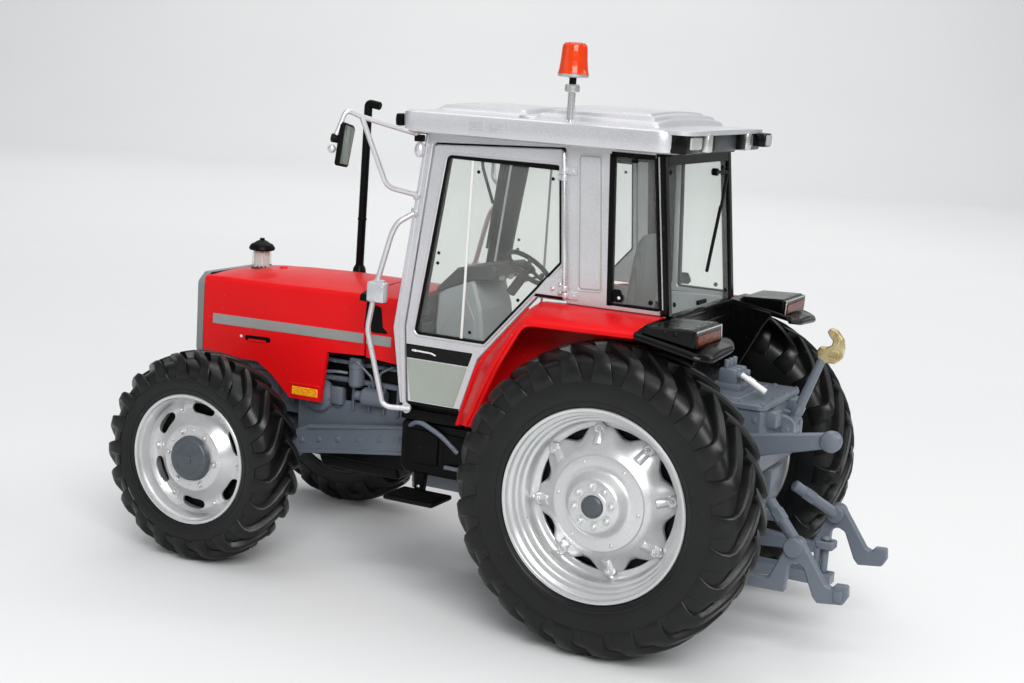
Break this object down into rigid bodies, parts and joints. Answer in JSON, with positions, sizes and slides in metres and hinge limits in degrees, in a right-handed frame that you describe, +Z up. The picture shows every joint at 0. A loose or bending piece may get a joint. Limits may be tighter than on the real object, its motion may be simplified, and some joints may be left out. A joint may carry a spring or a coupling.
{
  "type": "scale model farm tractor",
  "caption": "Die-cast scale model of a farm tractor with glazed cab, opening doors, steered front axle, rolling treaded wheels and a rear three-point linkage.",
  "frame": {"origin": "centre of the bounding box at ground level, where the tyres stand", "axes": "+X forward, +Y to the model's left, +Z up"},
  "size_m": [0.1378, 0.0672, 0.0982],
  "materials": {
    "red_paint": "gloss red enamel",
    "silver_paint": "metallic silver paint",
    "black_plastic": "satin black plastic",
    "casting_paint": "satin blue-grey paint",
    "clear_glazing": "clear plastic glazing",
    "grille_grey": "satin grey with dark mesh",
    "cab_grey": "matt grey plastic",
    "seat_grey": "matt grey moulded seat",
    "amber_lens": "translucent orange lens",
    "tyre": "matt black rubber",
    "rim_silver": "silver paint"
  },
  "bodies": {
    "chassis": {"engine": "casting_paint", "transmission": "casting_paint", "front_support": "casting_paint", "front_axle": "casting_paint", "bonnet": "red_paint", "grille": "grille_grey", "cowl": "red_paint", "rear_axle": "casting_paint", "cab_floor": "black_plastic", "cab_side_left": "silver_paint", "cab_side_right": "silver_paint", "cab_front": "cab_grey", "cab_rear": "black_plastic", "roof": "silver_paint", "windscreen": "clear_glazing", "quarter_glass": "clear_glazing", "rear_window": "clear_glazing", "beacon": "amber_lens", "fenders": "red_paint", "fender_rears": "black_plastic", "seat": "seat_grey", "dash": "cab_grey", "steering_wheel": "black_plastic", "exhaust": "black_plastic", "precleaner": "black_plastic", "hand_rails": "silver_paint", "mirrors": "black_plastic", "steps": "black_plastic", "drawbar": "casting_paint"},
    "wheel_rear_left": {"tyre_rear_left": "tyre", "rim_rear_left": "rim_silver"},
    "wheel_rear_right": {"tyre_rear_right": "tyre", "rim_rear_right": "rim_silver"},
    "knuckle_left": {"knuckle_left": "casting_paint"},
    "knuckle_right": {"knuckle_right": "casting_paint"},
    "tie_rod": {"tie_rod": "casting_paint"},
    "wheel_front_left": {"tyre_front_left": "tyre", "rim_front_left": "rim_silver"},
    "wheel_front_right": {"tyre_front_right": "tyre", "rim_front_right": "rim_silver"},
    "door_left": {"door_left": "silver_paint", "door_glass_left": "clear_glazing"},
    "door_right": {"door_right": "silver_paint", "door_glass_right": "clear_glazing"},
    "lower_link_left": {"lower_link_left": "casting_paint"},
    "lower_link_right": {"lower_link_right": "casting_paint"},
    "lift_arm": {"lift_arm": "casting_paint"},
    "top_link": {"top_link": "casting_paint"}
  },
  "joints": [
    {"name": "rear_left_roll", "type": "hinge", "parent": "chassis", "child": "wheel_rear_left", "pos_m": [-0.0315, 0.0268, 0.0258], "axis": [0, 1, 0], "continuous": true},
    {"name": "rear_right_roll", "type": "hinge", "parent": "chassis", "child": "wheel_rear_right", "pos_m": [-0.0315, -0.0268, 0.0258], "axis": [0, 1, 0], "continuous": true},
    {"name": "steer_left", "type": "hinge", "parent": "chassis", "child": "knuckle_left", "pos_m": [0.0495, 0.0185, 0.0194], "axis": [0, 0, 1], "range_deg": [-25, 25]},
    {"name": "steer_right", "type": "hinge", "parent": "chassis", "child": "knuckle_right", "pos_m": [0.0495, -0.0185, 0.0194], "axis": [0, 0, 1], "range_deg": [-25, 25]},
    {"name": "tie_rod_end", "type": "hinge", "parent": "knuckle_left", "child": "tie_rod", "pos_m": [0.0565, 0.0185, 0.0191], "axis": [0, 0, 1], "range_deg": [-25, 25]},
    {"name": "front_left_roll", "type": "hinge", "parent": "knuckle_left", "child": "wheel_front_left", "pos_m": [0.0495, 0.0258, 0.0194], "axis": [0, 1, 0], "continuous": true},
    {"name": "front_right_roll", "type": "hinge", "parent": "knuckle_right", "child": "wheel_front_right", "pos_m": [0.0495, -0.0258, 0.0194], "axis": [0, 1, 0], "continuous": true},
    {"name": "door_left_hinge", "type": "hinge", "parent": "chassis", "child": "door_left", "pos_m": [-0.0172, 0.01675, 0.0553], "axis": [0.0814, 0, 0.9967], "range_deg": [0, 55]},
    {"name": "door_right_hinge", "type": "hinge", "parent": "chassis", "child": "door_right", "pos_m": [-0.0172, -0.01675, 0.0553], "axis": [-0.0814, 0, -0.9967], "range_deg": [0, 55]},
    {"name": "lower_link_left_lift", "type": "hinge", "parent": "chassis", "child": "lower_link_left", "pos_m": [-0.0425, 0.0124, 0.013], "axis": [0, 1, 0], "range_deg": [-12, 12]},
    {"name": "lower_link_right_lift", "type": "hinge", "parent": "chassis", "child": "lower_link_right", "pos_m": [-0.0425, -0.0124, 0.013], "axis": [0, 1, 0], "range_deg": [-12, 12]},
    {"name": "lift_arm_lift", "type": "hinge", "parent": "chassis", "child": "lift_arm", "pos_m": [-0.0455, 0.0124, 0.0341], "axis": [0, 1, 0], "range_deg": [-30, 15]},
    {"name": "top_link_swing", "type": "hinge", "parent": "chassis", "child": "top_link", "pos_m": [-0.0529, 0, 0.0364], "axis": [0, 1, 0], "range_deg": [-75, 15]}
  ],
  "couplings": [
    {"joint": "steer_right", "follows": "steer_left", "ratio": 1},
    {"joint": "tie_rod_end", "follows": "steer_left", "ratio": -1}
  ]
}
